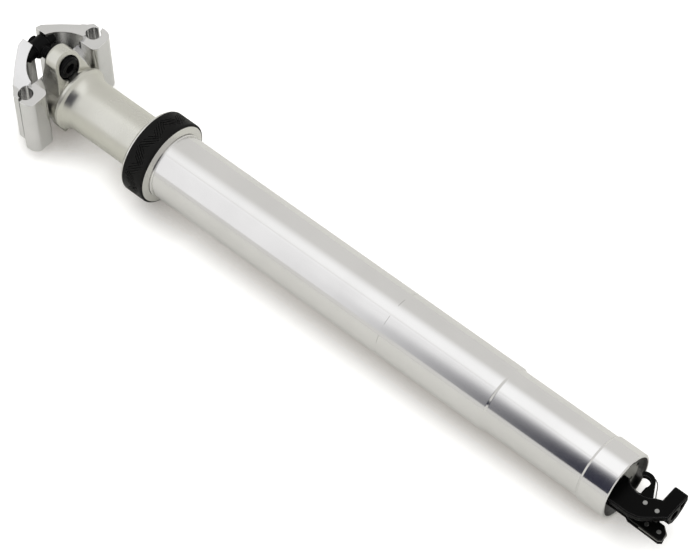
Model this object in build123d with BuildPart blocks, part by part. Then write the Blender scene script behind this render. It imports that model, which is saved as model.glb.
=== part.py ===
from build123d import *
import math
import os

os.makedirs("parts", exist_ok=True)

# All sizes are in millimetres. The origin is on the post's axis at the lower
# shoulder of the collar, +Z points up to the saddle, -Y is the front lug.

# Outer tube of a 31.6 mm post
POST_R = 15.8
TUBE_WALL = 2.0
TUBE_TOP_Z = 9.5
SHOULDER_STEP = 0.3
SHOULDER_LOW_Z = 0.3
SHOULDER_HEIGHT = 0.2
RELIEF_DEPTH = 0.68
RELIEF_TOP_Z = -187.0
STEP_BEVEL = 1.0
CAP_TOP_Z = -237.6
POST_END_Z = -252.2
FOAM_POCKET_STEP = 0.8
FOAM_POCKET_DEPTH = 6.5
KEY_GROOVE_DEPTH = 0.6
KEY_GROOVE_WIDTH = 3.0
KEY_GROOVE_TOP_Z = -35.0
KEY_COUNT = 3

# Fits and overruns
RUNNING_GAP = 0.05
SEAL_GAP = 0.04
BUSHING_GAP = 0.03
CUT_OVERRUN = 1.0

# Collar, its rubber band and the seals in it
COLLAR_LOW_Z = 0.8
COLLAR_LOW_WALL = 0.8
COLLAR_FLANGE_WALL = 3.6
COLLAR_FLANGE_Z = 1.75
BAND_LOW_Z = 1.95
BAND_HEIGHT = 11.6
BAND_SEAT_DEPTH = 0.8
BAND_THICKNESS = 1.8
BAND_EDGE_ROUND = 0.7
BAND_SECTORS = 9
BAND_GROOVE_WIDTH = 0.55
BAND_GROOVE_DEPTH = 0.45
BAND_GROOVE_TILT = 38.0
BAND_GROOVE_LENGTH = 9.6
BAND_GROOVE_STEP = 1.4
BAND_ROW_SHORTENING = 2.5
COLLAR_RIM_STEP = 1.2
COLLAR_RIM_HEIGHT = 0.55
COLLAR_TOP_BEVEL = 0.9
WIPER_SEAT_STEP = 0.6
WIPER_BODY_GAP = 0.7
WIPER_PROUD = 0.9
WIPER_LIP_HEIGHT = 0.7
FOAM_HEIGHT = 6.2
UPPER_BUSHING_LOW_Z = -32.0
UPPER_BUSHING_HIGH_Z = 2.5
BUSHING_SPACE = 1.0
BUSHING_SPLIT = 1.0

# Stanchion and forged head
STANCHION_WALL = 1.6
STANCHION_LOW_Z = -215.0
CARTRIDGE_SHOULDER = 1.4
CARTRIDGE_SHOULDER_Z = -36.0
HEAD_BORE_TOP_Z = 44.0
NECK_START_Z = 50.6
NECK_FLARE = 1.5
NECK_RING_Z = 56.2
BASE_RING_STEP = 1.2
BASE_RING_HEIGHT = 1.5
HEAD_COLUMN_STEP = 1.2
PIVOT_Z = 81.0
TROUGH_R = 16.0
LUG_Y = 19.0
LUG_NOSE = 1.1
LUG_R = 7.2
LUG_ROOT_X = 10.8
LUG_ROOT_Y = 9.0
LUG_TOP_Z = 71.8
LUG_TOP_ROUND = 2.0
LUG_FACE_Z = 62.4
LUG_FACE_SLOPE = 0.35
COUNTERBORE_R = 5.85
COUNTERBORE_FLOOR_Z = 67.8
BOLT_HOLE_R = 3.3

# Bushing and keys at the stanchion's lower end
LOWER_BUSHING_LOW_Z = -213.5
LOWER_BUSHING_LENGTH = 13.0
LOWER_BUSHING_SEAT = 0.3
KEY_SEAT_DEPTH = 0.9
KEY_LOW_Z = -197.0
KEY_LENGTH = 10.0

# Cartridge
CARTRIDGE_CLEARANCE = 0.3
CARTRIDGE_WALL = 0.9
CARTRIDGE_LOW_Z = -211.0
CLIP_THICKNESS = 1.2
CLIP_GROOVE_DEPTH = 0.45
CLIP_REACH = 1.5
CLIP_GAP = 6.0
SEAL_HEAD_LENGTH = 8.0
PLUG_FLANGE = 2.0
PLUG_SPIGOT = 8.0
ROD_R = 4.0
ROD_TOP_Z = -47.0
ROD_BORE_R = 1.5
ROD_GUIDE_R = 1.25
ROD_GUIDE_LENGTH = 6.0
ROD_BORE_TOP_Z = -52.0
PISTON_LENGTH = 6.0
PISTON_DROP = 5.5
PISTON_SEAL_DEPTH = 1.4
PISTON_SEAL_WIDTH = 2.0
RELEASE_PIN_R = 1.2
RELEASE_PIN_TOP_Z = -60.0

# Bottom cap and base plate
CAP_SPIGOT_LENGTH = 9.6
CAP_SPIGOT_WALL = 0.8
CAP_RIM_WALL = 1.25
CAP_EDGE = 0.5
BASE_PLATE_LOW_Z = -250.0
BASE_PLATE_THICKNESS = 3.5
SPANNER_HOLE_R = 0.9
SPANNER_HOLE_X = 10.2
SPANNER_HOLE_Y = -2.6
SPANNER_SLOT_X = 5.6
SPANNER_SLOT_Y = 3.6
SPANNER_SLOT_LENGTH = 3.2

# Clamp bolts and barrel nuts
BOLT_R = 3.0
BOLT_ROOT_R = 2.5
BOLT_PITCH = 1.0
BOLT_LENGTH = 18.0
BOLT_THREAD_LENGTH = 14.0
BOLT_HEAD_R = 5.3
BOLT_HEAD_HEIGHT = 6.0
BOLT_HEAD_EDGE = 0.6
BOLT_SOCKET_FLATS = 5.0
BOLT_SOCKET_DEPTH = 3.2
NUT_R = 4.4
NUT_HALF_WIDTH = 3.7
NUT_FACET_DROP = 3.8
NUT_BORE_R = 3.3
NUT_JOURNAL_R = 3.0
NUT_JOURNAL_REACH = 4.3
NUT_EDGE = 0.5

# Saddle rails and clamps
RAIL_R = 3.5
RAIL_X = 22.0
RAIL_DROP = 12.5
CRADLE_HALF_LENGTH = 17.2
CRADLE_WEB_DROP = 9.0
CRADLE_WEB_HALF_WIDTH = 15.0
CLAMP_INNER_X = 4.0
CLAMP_END_HALF_LENGTH = 24.6
CLAMP_REAR_CORNER = 4.6

# Shape of one cradle hook, as shares of the rail's radius from the rail's axis
HOOK_INNER_SHARES = [(-0.943, 0.4), (-2.03, 0.4), (-2, -1.3)]
HOOK_INNER_ARC_SHARES = [(-1.8, -1.87), (-1.2, -2.12)]
HOOK_OUTER_FOOT_SHARES = (0.5, -2.1)
HOOK_OUTER_ARC_SHARES = [(1.1, -1.72), (1.4, -0.95)]
HOOK_TIP_SHARES = [(1.44, -0.27), (0, -0.44), (0, 0.4)]

# Shape of one upper clamp: its lip as shares of the rail's radius, its arch as
# shares of the reach from the rail to the clamp's inner end and of the rise
CLAMP_LIP_SHARES = [(1.2, 0.16), (1.2, 1.03), (0.54, 1.657), (0.2, 2.14)]
CLAMP_TOP_SHARES = [(-0.411, 1.08), (-0.694, 1.336), (-0.811, 1.432), (-1, 1.432), (-1, 0.952)]
CLAMP_ARCH_SHARES = [(-0.56, 0.7), (-0.294, 0.112)]
CLAMP_FOOT_SHARES = [(0, 0.4), (0, 0.16)]

# Actuator below the base plate; its plates lie in planes of constant Y
PIN_R = 1.0
PIN_X = 3.9
PIN_A_DROP = 14.6
PIN_B_DROP = 20.7
PIN_PROUD = 0.2
ARM_FRONT_Y = -6.0
ARM_THICKNESS = 2.4
ARM_EDGE = 0.45
ACTUATOR_DROP = 26.2
BLOCK_HEIGHT = 7.0
BLOCK_LEFT_X = -2.7
BLOCK_RIGHT_X = 10.4
BLOCK_BACK_Y = 2.6
BLOCK_ROUND = 0.8
HOUSING_X = 0.9
HOUSING_Y = -2.3
HOUSING_R = 2.55
HOUSING_DEPTH = 5.0
CABLE_HOLE_R = 0.9
SIDE_POCKET_DEPTH = 4.5
LEVER_FRONT_Y = -3.3
LEVER_THICKNESS = 2.6
LEVER_HUB_R = 3.0
LEVER_BOSS_R = 1.8
LEVER_BOSS_LENGTH = 2.4
HOOK_X = 5.1
HOOK_DROP = 7.2
HOOK_R = 4.9
HOOK_HOLE_R = 2.9
LEVER_SWING = 20.0
PIN_LIFT = 1.2
CAM_CONTACT_DROP = 8.6
CAM_STEPS = 8
PLATE_FRONT_Y = 1.9
PLATE_THICKNESS = 1.0
PLATE_DROP = 28.2
SPACER_THICKNESS = 1.6
RIVET_R = 1.0
RIVET_1_X = -7.6
RIVET_1_DROP = 18.9
RIVET_2_X = -7.3
RIVET_2_DROP = 24.9
SPRING_WIRE_R = 0.25
SPRING_COIL_R = 2.45
SPRING_PITCH = 0.92
SPRING_TURNS = 2
SPRING_Y = -0.42
SPRING_SAMPLES = 400

# Points along the spring's visible leg, as shares of the hook's radius from its centre
SPRING_LEG_SHARES = [(-0.94, -1.9), (-0.12, -1.43), (0.67, -0.98), (1.08, -0.41)]
SPRING_LEG_END = (0.4, 0, 1)
# Shape of the front arm, as shares of the post's radius and of the actuator's drop
ARM_NECK_SHARES = [(0.082, 0), (0.082, 0.103)]
ARM_HOLLOW_SHARES = [(-0.115, 0.42), (0.038, 0.618)]
ARM_NOTCH_SHARES = [(0.12, 0.733)]
ARM_FOOT_SHARES = [(-0.228, 1), (-0.709, 0.649), (-0.785, 0.458), (-0.785, 0)]
# Shape of each side plate, as shares of the post's radius and of the plates' drop
PLATE_SHARES = [
    (-0.101, 0), (-0.101, 0.727), (-0.215, 0.798), (-0.215, 0.872), (-0.38, 0.972),
    (-0.582, 1), (-0.658, 0.95), (-0.639, 0.39), (-0.576, 0.326), (-0.576, 0),
]
# Shape of the grey spacer between the side plates, by the same two sizes
SPACER_SHARES = [
    (-0.354, 0.585), (-0.354, 0.773), (-0.19, 0.837), (-0.19, 0.879), (-0.354, 0.989),
    (-0.57, 0.986), (-0.633, 0.936), (-0.627, 0.585),
]

# Radii and heights that follow from the sizes above
tube_bore_r = POST_R - TUBE_WALL
stanchion_r = tube_bore_r - BUSHING_SPACE
stanchion_bore_r = stanchion_r - STANCHION_WALL
cartridge_r = stanchion_bore_r - CARTRIDGE_CLEARANCE
cartridge_bore_r = cartridge_r - CARTRIDGE_WALL
relief_r = POST_R - RELIEF_DEPTH
shoulder_r = POST_R + SHOULDER_STEP
foam_pocket_r = tube_bore_r + FOAM_POCKET_STEP
key_groove_r = tube_bore_r + KEY_GROOVE_DEPTH
key_seat_r = stanchion_r - KEY_SEAT_DEPTH
collar_flange_r = POST_R + COLLAR_FLANGE_WALL
band_seat_r = collar_flange_r - BAND_SEAT_DEPTH
band_r = band_seat_r + BAND_THICKNESS
band_high_z = BAND_LOW_Z + BAND_HEIGHT
collar_rim_r = band_seat_r + COLLAR_RIM_STEP
collar_rim_z = band_high_z + COLLAR_RIM_HEIGHT
collar_top_z = collar_rim_z + COLLAR_TOP_BEVEL
wiper_seat_r = POST_R - WIPER_SEAT_STEP
clip_r = stanchion_bore_r + CLIP_GROOVE_DEPTH
clip_low_z = CARTRIDGE_LOW_Z - CLIP_THICKNESS
lower_bushing_seat_r = stanchion_r - LOWER_BUSHING_SEAT
lower_bushing_high_z = LOWER_BUSHING_LOW_Z + LOWER_BUSHING_LENGTH
cap_bore_r = tube_bore_r - CAP_SPIGOT_WALL
base_plate_r = POST_R - CAP_RIM_WALL
rail_z = PIVOT_Z - RAIL_DROP
pin_a = (-PIN_X, BASE_PLATE_LOW_Z - PIN_A_DROP)
pin_b = (-PIN_X, BASE_PLATE_LOW_Z - PIN_B_DROP)
rivet_1 = (RIVET_1_X, BASE_PLATE_LOW_Z - RIVET_1_DROP)
rivet_2 = (RIVET_2_X, BASE_PLATE_LOW_Z - RIVET_2_DROP)
hook_z = BASE_PLATE_LOW_Z - HOOK_DROP
cam_contact_z = BASE_PLATE_LOW_Z - CAM_CONTACT_DROP
block_end_z = BASE_PLATE_LOW_Z - ACTUATOR_DROP
block_top_z = block_end_z + BLOCK_HEIGHT
lever_back_y = LEVER_FRONT_Y + LEVER_THICKNESS
lever_boss_back_y = lever_back_y + LEVER_BOSS_LENGTH


def turned(points):
    """Turn a closed outline of (radius, Z) points about the post's axis."""
    with BuildPart() as body:
        with BuildSketch(Plane.XZ):
            with BuildLine():
                Polyline(*points, close=True)
            make_face()
        revolve(axis=Axis.Z)
    return body


def plate(points, front_y, back_y, centres=()):
    """Extrude an (X, Z) outline between two Y values, with holes for pins."""
    with BuildPart() as body:
        with BuildSketch(Plane.XZ.offset(-back_y)):
            with BuildLine():
                Polyline(*points, close=True)
            make_face()
            for centre in centres:
                with Locations(centre):
                    Circle(PIN_R, mode=Mode.SUBTRACT)
        extrude(amount=back_y - front_y)
    return body


def hanging(shares, drop):
    """Place an outline below the base plate, given as shares of two sizes."""
    return [(POST_R * x, BASE_PLATE_LOW_Z - drop * z) for x, z in shares]


def save(body, name):
    """Label a body and write it as one STEP file."""
    body.part.label = name
    export_step(body.part, "parts/" + name + ".step")


# Outer tube with its shoulder ring, relieved lower end and key grooves
foam_floor_z = TUBE_TOP_Z - FOAM_POCKET_DEPTH
shoulder_high_z = SHOULDER_LOW_Z + SHOULDER_HEIGHT
with BuildPart() as outer_tube:
    with BuildSketch(Plane.XZ):
        with BuildLine():
            Polyline(
                (tube_bore_r, CAP_TOP_Z),
                (relief_r, CAP_TOP_Z),
                (relief_r, RELIEF_TOP_Z - STEP_BEVEL),
                (POST_R, RELIEF_TOP_Z),
                (POST_R, SHOULDER_LOW_Z - SHOULDER_STEP),
                (shoulder_r, SHOULDER_LOW_Z),
                (shoulder_r, shoulder_high_z),
                (POST_R, shoulder_high_z),
                (POST_R, TUBE_TOP_Z),
                (foam_pocket_r, TUBE_TOP_Z),
                (foam_pocket_r, foam_floor_z),
                (tube_bore_r, foam_floor_z),
                close=True,
            )
        make_face()
    revolve(axis=Axis.Z)
    with BuildSketch(Plane.XY.offset(CAP_TOP_Z)):
        with PolarLocations((key_groove_r + stanchion_r) / 2, KEY_COUNT, start_angle=90):
            Rectangle(key_groove_r - stanchion_r, KEY_GROOVE_WIDTH)
    extrude(amount=KEY_GROOVE_TOP_Z - CAP_TOP_Z, mode=Mode.SUBTRACT)
save(outer_tube, "outer_tube")

# Collar threaded over the tube's top end
collar = turned([
    (POST_R, COLLAR_LOW_Z),
    (POST_R + COLLAR_LOW_WALL, COLLAR_LOW_Z),
    (collar_flange_r, COLLAR_FLANGE_Z),
    (collar_flange_r, BAND_LOW_Z),
    (band_seat_r, BAND_LOW_Z),
    (band_seat_r, band_high_z),
    (collar_rim_r, band_high_z),
    (collar_rim_r, collar_rim_z),
    (collar_rim_r - COLLAR_TOP_BEVEL, collar_top_z),
    (wiper_seat_r, collar_top_z),
    (wiper_seat_r, TUBE_TOP_Z),
    (POST_R, TUBE_TOP_Z),
])
save(collar, "collar")

# Rubber band with a moulded pattern of slanting grooves
band_mid_z = BAND_LOW_Z + BAND_HEIGHT / 2
with BuildPart() as collar_band:
    with BuildSketch(Plane.XY.offset(BAND_LOW_Z)):
        Circle(band_r)
        Circle(band_seat_r, mode=Mode.SUBTRACT)
    extrude(amount=BAND_HEIGHT)
    outer_edges = collar_band.edges().filter_by(GeomType.CIRCLE)
    fillet(outer_edges.filter_by(lambda e: e.radius > band_seat_r + RUNNING_GAP), BAND_EDGE_ROUND)
    sector = 360 / BAND_SECTORS
    for side in (1, -1):
        for row in (-2, -1, 0, 1, 2):
            turn = side * sector / 4 + math.degrees(row * BAND_GROOVE_STEP / band_r)
            row_length = BAND_GROOVE_LENGTH - abs(row) * BAND_ROW_SHORTENING
            with Locations((0, 0, band_mid_z)):
                with PolarLocations(band_r, BAND_SECTORS, start_angle=turn):
                    Box(
                        2 * BAND_GROOVE_DEPTH,
                        BAND_GROOVE_WIDTH,
                        row_length,
                        rotation=(side * BAND_GROOVE_TILT, 0, 0),
                        mode=Mode.SUBTRACT,
                    )
save(collar_band, "collar_band")

# Wiper seal pressed into the collar, on top of the tube
seal_r = stanchion_r + SEAL_GAP
wiper_body_r = stanchion_r + WIPER_BODY_GAP
wiper_top_z = collar_top_z + WIPER_PROUD
wiper_seal = turned([
    (wiper_body_r, TUBE_TOP_Z),
    (wiper_seat_r, TUBE_TOP_Z),
    (wiper_seat_r, collar_top_z),
    (wiper_body_r, wiper_top_z),
    (seal_r, wiper_top_z - WIPER_LIP_HEIGHT / 2),
    (seal_r, wiper_top_z - WIPER_LIP_HEIGHT * 3 / 2),
    (wiper_body_r, wiper_top_z - WIPER_LIP_HEIGHT * 5 / 2),
])
save(wiper_seal, "wiper_seal")

# Oiled foam ring in the pocket at the tube's top
foam_ring = turned([
    (seal_r, foam_floor_z),
    (foam_pocket_r, foam_floor_z),
    (foam_pocket_r, foam_floor_z + FOAM_HEIGHT),
    (seal_r, foam_floor_z + FOAM_HEIGHT),
])
save(foam_ring, "foam_ring")


def split_bushing(inner_r, outer_r, low_z, high_z):
    """Make a plain bushing split along one side."""
    with BuildPart() as body:
        with BuildSketch(Plane.XY.offset(low_z)):
            Circle(outer_r)
            Circle(inner_r, mode=Mode.SUBTRACT)
            with Locations((-(inner_r + outer_r) / 2, 0)):
                Rectangle(2 * (outer_r - inner_r), BUSHING_SPLIT, mode=Mode.SUBTRACT)
        extrude(amount=high_z - low_z)
    return body


# Upper bushing in the tube, lower bushing on the stanchion
upper_bushing = split_bushing(
    stanchion_r + BUSHING_GAP, tube_bore_r, UPPER_BUSHING_LOW_Z, UPPER_BUSHING_HIGH_Z
)
save(upper_bushing, "upper_bushing")
lower_bushing = split_bushing(
    lower_bushing_seat_r, tube_bore_r - BUSHING_GAP, LOWER_BUSHING_LOW_Z, lower_bushing_high_z
)
save(lower_bushing, "lower_bushing")

# Bottom cap with a spigot in the tube and a recess for the base plate
base_top_z = BASE_PLATE_LOW_Z + BASE_PLATE_THICKNESS
cap_spigot_top_z = CAP_TOP_Z + CAP_SPIGOT_LENGTH
bottom_cap = turned([
    (cap_bore_r, cap_spigot_top_z),
    (tube_bore_r, cap_spigot_top_z),
    (tube_bore_r, CAP_TOP_Z),
    (relief_r, CAP_TOP_Z),
    (POST_R, CAP_TOP_Z - STEP_BEVEL),
    (POST_R, POST_END_Z + CAP_EDGE),
    (POST_R - CAP_EDGE, POST_END_Z),
    (base_plate_r, POST_END_Z),
    (base_plate_r, base_top_z),
    (cap_bore_r, base_top_z),
])
save(bottom_cap, "bottom_cap")

# Base plate, screwed into the cap, with a spanner hole and a slot
with BuildPart() as base_plate:
    with BuildSketch(Plane.XY.offset(BASE_PLATE_LOW_Z)):
        Circle(base_plate_r)
        Circle(ROD_R, mode=Mode.SUBTRACT)
        with Locations((SPANNER_HOLE_X, SPANNER_HOLE_Y)):
            Circle(SPANNER_HOLE_R, mode=Mode.SUBTRACT)
        with Locations((SPANNER_SLOT_X, SPANNER_SLOT_Y)):
            SlotOverall(SPANNER_SLOT_LENGTH, 2 * SPANNER_HOLE_R, mode=Mode.SUBTRACT)
    extrude(amount=BASE_PLATE_THICKNESS)
save(base_plate, "base_plate")

# Hollow cartridge rod, fixed to the base plate
guide_top_z = BASE_PLATE_LOW_Z + ROD_GUIDE_LENGTH
cartridge_rod = turned([
    (ROD_GUIDE_R, BASE_PLATE_LOW_Z),
    (ROD_R, BASE_PLATE_LOW_Z),
    (ROD_R, ROD_TOP_Z),
    (0, ROD_TOP_Z),
    (0, ROD_BORE_TOP_Z),
    (ROD_BORE_R, ROD_BORE_TOP_Z),
    (ROD_BORE_R, guide_top_z),
    (ROD_GUIDE_R, guide_top_z),
])
save(cartridge_rod, "cartridge_rod")

# Piston on the rod's top end, with a seal in its groove
piston_r = cartridge_bore_r - RUNNING_GAP
piston_seat_r = cartridge_bore_r - PISTON_SEAL_DEPTH
piston_low_z = ROD_TOP_Z - PISTON_DROP
piston_top_z = piston_low_z + PISTON_LENGTH
seal_low_z = piston_low_z + (PISTON_LENGTH - PISTON_SEAL_WIDTH) / 2
seal_top_z = seal_low_z + PISTON_SEAL_WIDTH
rod_piston = turned([
    (ROD_R, piston_low_z),
    (piston_r, piston_low_z),
    (piston_r, seal_low_z),
    (piston_seat_r, seal_low_z),
    (piston_seat_r, seal_top_z),
    (piston_r, seal_top_z),
    (piston_r, piston_top_z),
    (ROD_R, piston_top_z),
])
save(rod_piston, "rod_piston")
piston_seal = turned([
    (piston_seat_r, seal_low_z),
    (cartridge_bore_r - SEAL_GAP, seal_low_z),
    (cartridge_bore_r - SEAL_GAP, seal_top_z),
    (piston_seat_r, seal_top_z),
])
save(piston_seal, "piston_seal")

# Cartridge body, seal head and top plug, which travel with the stanchion
plug_low_z = CARTRIDGE_SHOULDER_Z - PLUG_FLANGE
cartridge_body = turned([
    (cartridge_bore_r, CARTRIDGE_LOW_Z),
    (cartridge_r, CARTRIDGE_LOW_Z),
    (cartridge_r, plug_low_z),
    (cartridge_bore_r, plug_low_z),
])
save(cartridge_body, "cartridge_body")
cartridge_seal_head = turned([
    (ROD_R + SEAL_GAP, CARTRIDGE_LOW_Z),
    (cartridge_bore_r, CARTRIDGE_LOW_Z),
    (cartridge_bore_r, CARTRIDGE_LOW_Z + SEAL_HEAD_LENGTH),
    (ROD_R + SEAL_GAP, CARTRIDGE_LOW_Z + SEAL_HEAD_LENGTH),
])
save(cartridge_seal_head, "cartridge_seal_head")
cartridge_top_plug = turned([
    (0, plug_low_z - PLUG_SPIGOT),
    (cartridge_bore_r, plug_low_z - PLUG_SPIGOT),
    (cartridge_bore_r, plug_low_z),
    (stanchion_bore_r, plug_low_z),
    (stanchion_bore_r, CARTRIDGE_SHOULDER_Z),
    (0, CARTRIDGE_SHOULDER_Z),
])
save(cartridge_top_plug, "cartridge_top_plug")
with BuildPart() as cartridge_clip:
    with BuildSketch(Plane.XY.offset(clip_low_z)):
        Circle(clip_r)
        Circle(cartridge_r - CLIP_REACH, mode=Mode.SUBTRACT)
        with Locations((clip_r, 0)):
            Rectangle(clip_r, CLIP_GAP, mode=Mode.SUBTRACT)
    extrude(amount=CLIP_THICKNESS)
save(cartridge_clip, "cartridge_clip")

# Release pin inside the rod, resting on the lever's cam
pin_low_z = cam_contact_z + RUNNING_GAP
with BuildPart() as release_pin:
    with BuildSketch(Plane.XY.offset(pin_low_z + RELEASE_PIN_R)):
        Circle(RELEASE_PIN_R)
    extrude(amount=RELEASE_PIN_TOP_Z - pin_low_z - RELEASE_PIN_R)
    with Locations((0, 0, pin_low_z + RELEASE_PIN_R)):
        Sphere(RELEASE_PIN_R)
save(release_pin, "release_pin")

# Stanchion and forged head in one piece
neck_ring_r = stanchion_r + NECK_FLARE
base_ring_r = neck_ring_r + BASE_RING_STEP
base_ring_low_z = NECK_RING_Z + BASE_RING_STEP
base_ring_top_z = base_ring_low_z + BASE_RING_HEIGHT
column_r = base_ring_r - HEAD_COLUMN_STEP
head_bore_r = stanchion_bore_r - CARTRIDGE_SHOULDER
lug_centre_y = LUG_Y + LUG_NOSE
lug_reach = lug_centre_y + LUG_R
with BuildPart() as stanchion_head:
    with BuildSketch(Plane.XZ):
        with BuildLine():
            Polyline(
                (neck_ring_r, NECK_RING_Z),
                (base_ring_r, base_ring_low_z),
                (base_ring_r, base_ring_top_z),
                (column_r, base_ring_top_z + HEAD_COLUMN_STEP),
                (column_r, LUG_TOP_Z),
                (0, LUG_TOP_Z),
                (0, HEAD_BORE_TOP_Z),
                (head_bore_r, HEAD_BORE_TOP_Z - head_bore_r / 2),
                (head_bore_r, CARTRIDGE_SHOULDER_Z),
                (stanchion_bore_r, CARTRIDGE_SHOULDER_Z),
                (stanchion_bore_r, CARTRIDGE_LOW_Z),
                (clip_r, CARTRIDGE_LOW_Z),
                (clip_r, clip_low_z),
                (stanchion_bore_r, clip_low_z),
                (stanchion_bore_r, STANCHION_LOW_Z),
                (lower_bushing_seat_r, STANCHION_LOW_Z),
                (lower_bushing_seat_r, lower_bushing_high_z),
                (stanchion_r, lower_bushing_high_z),
                (stanchion_r, NECK_START_Z),
            )
            Spline(
                (stanchion_r, NECK_START_Z),
                (neck_ring_r, NECK_RING_Z),
                tangents=[(0, 1), (0.55, 1)],
            )
        make_face()
    revolve(axis=Axis.Z)
    for side in (1, -1):
        with BuildPart(mode=Mode.PRIVATE) as lug:
            with BuildSketch(Plane.XY.offset(HEAD_BORE_TOP_Z)):
                with Locations((0, -lug_centre_y)):
                    Circle(LUG_R)
                with BuildLine():
                    Polyline(
                        (-LUG_ROOT_X, 0),
                        (-LUG_ROOT_X, -LUG_ROOT_Y),
                        (-LUG_R, -lug_centre_y),
                        (LUG_R, -lug_centre_y),
                        (LUG_ROOT_X, -LUG_ROOT_Y),
                        (LUG_ROOT_X, 0),
                        close=True,
                    )
                make_face()
            extrude(amount=LUG_TOP_Z - HEAD_BORE_TOP_Z)
            top_edges = lug.faces().sort_by(Axis.Z)[-1].edges().sort_by(Axis.Y)[:-1]
            fillet(top_edges, LUG_TOP_ROUND)
            with BuildSketch(Plane.YZ):
                with BuildLine():
                    Polyline(
                        (-2 * lug_reach, LUG_FACE_Z + LUG_FACE_SLOPE * (2 * lug_reach - LUG_Y)),
                        (CUT_OVERRUN, LUG_FACE_Z - LUG_FACE_SLOPE * (LUG_Y + CUT_OVERRUN)),
                        (CUT_OVERRUN, 0),
                        (-2 * lug_reach, 0),
                        close=True,
                    )
                make_face()
            extrude(amount=2 * LUG_ROOT_X, both=True, mode=Mode.SUBTRACT)
        lug_part = lug.part if side == 1 else mirror(lug.part, about=Plane.XZ, mode=Mode.PRIVATE)
        add(lug_part)
    with Locations((0, 0, PIVOT_Z)):
        Cylinder(TROUGH_R, 4 * LUG_ROOT_X, rotation=(0, 90, 0), mode=Mode.SUBTRACT)
    for side in (1, -1):
        with Locations((0, side * LUG_Y, COUNTERBORE_FLOOR_Z)):
            Cylinder(
                COUNTERBORE_R,
                COUNTERBORE_FLOOR_Z - base_ring_top_z,
                align=(Align.CENTER, Align.CENTER, Align.MAX),
                mode=Mode.SUBTRACT,
            )
            Cylinder(BOLT_HOLE_R, 2 * LUG_R, mode=Mode.SUBTRACT)
    with BuildSketch(Plane.XY.offset(KEY_LOW_Z)):
        with PolarLocations((key_groove_r + key_seat_r) / 2, KEY_COUNT, start_angle=90):
            Rectangle(key_groove_r - key_seat_r, KEY_GROOVE_WIDTH - 2 * RUNNING_GAP)
    extrude(amount=KEY_LENGTH, mode=Mode.SUBTRACT)
save(stanchion_head, "stanchion_head")

# Three brass keys that stop the stanchion turning in the tube
key_r = key_groove_r - RUNNING_GAP
with BuildPart() as anti_rotation_keys:
    with BuildSketch(Plane.XY.offset(KEY_LOW_Z)):
        with PolarLocations((key_r + key_seat_r) / 2, KEY_COUNT, start_angle=90):
            Rectangle(key_r - key_seat_r, KEY_GROOVE_WIDTH - 2 * RUNNING_GAP)
    extrude(amount=KEY_LENGTH)
save(anti_rotation_keys, "anti_rotation_keys")

# Two socket head bolts standing in the lugs, heads down
thread_start = BOLT_LENGTH - BOLT_THREAD_LENGTH
thread_turns = round(BOLT_THREAD_LENGTH / BOLT_PITCH)
bolt_outline = [
    (0, BOLT_LENGTH),
    (0, -BOLT_HEAD_HEIGHT),
    (BOLT_HEAD_R - BOLT_HEAD_EDGE, -BOLT_HEAD_HEIGHT),
    (BOLT_HEAD_R, BOLT_HEAD_EDGE - BOLT_HEAD_HEIGHT),
    (BOLT_HEAD_R, 0),
    (BOLT_R, 0),
    (BOLT_R, thread_start),
]
for turn_index in range(thread_turns):
    root_z = thread_start + (turn_index + 1 / 2) * BOLT_PITCH
    bolt_outline.append((BOLT_ROOT_R, root_z))
    bolt_outline.append((BOLT_R, root_z + BOLT_PITCH / 2))
bolt_outline.append((BOLT_ROOT_R, BOLT_LENGTH))
with BuildPart() as one_bolt:
    with BuildSketch(Plane.XZ):
        with BuildLine():
            Polyline(*bolt_outline, close=True)
        make_face()
    revolve(axis=Axis.Z)
    with BuildSketch(Plane.XY.offset(-BOLT_HEAD_HEIGHT)):
        RegularPolygon(BOLT_SOCKET_FLATS / 2, 6, major_radius=False)
    extrude(amount=BOLT_SOCKET_DEPTH, mode=Mode.SUBTRACT)
with BuildPart() as clamp_bolts:
    with Locations((0, -LUG_Y, COUNTERBORE_FLOOR_Z), (0, LUG_Y, COUNTERBORE_FLOOR_Z)):
        add(one_bolt.part)
save(clamp_bolts, "clamp_bolts")


def barrel_nut(y):
    """Make one barrel nut whose journals turn in the upper clamps."""
    with BuildPart() as body:
        with Locations((0, y, PIVOT_Z)):
            Cylinder(NUT_R, 2 * NUT_HALF_WIDTH, rotation=(0, 90, 0))
        chamfer(body.edges().filter_by(GeomType.CIRCLE), NUT_EDGE)
        with BuildSketch(Plane.XY.offset(PIVOT_Z - NUT_FACET_DROP)):
            with Locations((0, y)):
                Rectangle(4 * NUT_R, 4 * NUT_R)
        extrude(amount=-NUT_R, mode=Mode.SUBTRACT)
        with Locations((0, y, PIVOT_Z)):
            Cylinder(
                NUT_JOURNAL_R, 2 * (NUT_HALF_WIDTH + NUT_JOURNAL_REACH), rotation=(0, 90, 0)
            )
            Cylinder(NUT_BORE_R, 4 * NUT_R, mode=Mode.SUBTRACT)
    return body


barrel_nut_front = barrel_nut(-LUG_Y)
save(barrel_nut_front, "barrel_nut_front")
barrel_nut_rear = barrel_nut(LUG_Y)
save(barrel_nut_rear, "barrel_nut_rear")


def beside_rail(shares, side, reach, rise):
    """Place shares of two sizes about a rail's axis, mirrored by side."""
    return [(side * (RAIL_X + reach * x), rail_z + rise * z) for x, z in shares]


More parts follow.
